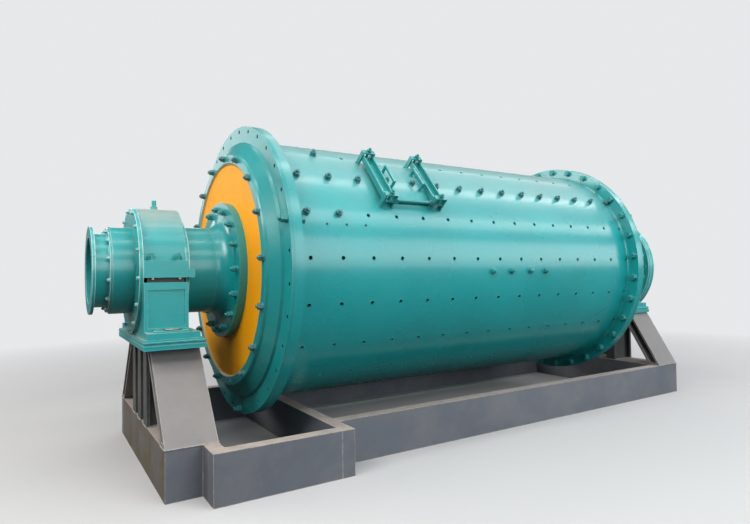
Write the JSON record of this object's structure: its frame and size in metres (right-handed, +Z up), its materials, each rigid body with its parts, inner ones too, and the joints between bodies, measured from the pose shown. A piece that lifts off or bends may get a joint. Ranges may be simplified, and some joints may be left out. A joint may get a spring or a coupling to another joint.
{
  "type": "ball mill",
  "caption": "Flanged grinding drum on hollow trunnions, turning in split bearings on a welded base frame with two pedestals and a bay for the drive pinion.",
  "frame": {"origin": "on the floor below the middle of the drum", "axes": "+Z up, +X along the drum's axis towards the discharge end, -Y towards the side with the pinion bay"},
  "size_m": [6.24, 2.3998, 2.68],
  "materials": {
    "shell_paint": "gloss teal paint over rolled plate",
    "head_paint": "gloss teal paint over a casting",
    "face_paint": "orange undercoat",
    "clamp_paint": "darker teal paint on welded bar and channel",
    "liner_paint": "pale teal paint",
    "bush_metal": "cast bush with a white metal lining",
    "bearing_paint": "gloss teal paint over a casting",
    "shim_metal": "dark bare shim packs",
    "leg_paint": "satin light blue-grey paint",
    "beam_paint": "satin blue-grey paint, worn along the top edges"
  },
  "bodies": {
    "frame": {"feed_bearing_bush": "bush_metal", "feed_bearing_base": "bearing_paint", "feed_bearing_cap": "bearing_paint", "feed_bearing_shims": "shim_metal", "feed_outer_seal": "liner_paint", "feed_inner_seal": "liner_paint", "feed_sole_plate": "bearing_paint", "discharge_bearing_bush": "bush_metal", "discharge_bearing_base": "bearing_paint", "discharge_bearing_cap": "bearing_paint", "discharge_bearing_shims": "shim_metal", "discharge_outer_seal": "liner_paint", "discharge_inner_seal": "liner_paint", "discharge_sole_plate": "bearing_paint", "feed_leg_near": "leg_paint", "feed_leg_far": "leg_paint", "feed_posts": "leg_paint", "discharge_leg_near": "leg_paint", "discharge_leg_far": "leg_paint", "discharge_posts": "leg_paint", "near_long_beam": "beam_paint", "far_long_beam": "beam_paint", "feed_cross_beam": "beam_paint", "discharge_cross_beam": "beam_paint", "bay_cross_beam": "beam_paint", "bay_outer_beam": "beam_paint", "bay_feed_beam": "beam_paint"},
    "drum": {"shell": "shell_paint", "feed_shell_flange": "shell_paint", "discharge_shell_flange": "shell_paint", "feed_head": "head_paint", "discharge_head": "head_paint", "feed_head_face": "face_paint", "discharge_head_face": "face_paint", "feed_trunnion_flange": "head_paint", "discharge_trunnion_flange": "head_paint", "feed_trunnion": "head_paint", "discharge_trunnion": "head_paint", "feed_liner": "liner_paint", "discharge_liner": "liner_paint", "discharge_ring": "liner_paint", "manhole_cover": "shell_paint", "feed_side_clamp": "clamp_paint", "discharge_side_clamp": "clamp_paint", "clamp_tie_rod": "clamp_paint"}
  },
  "joints": [
    {"name": "drum_spin", "type": "hinge", "parent": "frame", "child": "drum", "pos_m": [0, 0, 1.48], "axis": [1, 0, 0], "continuous": true}
  ]
}
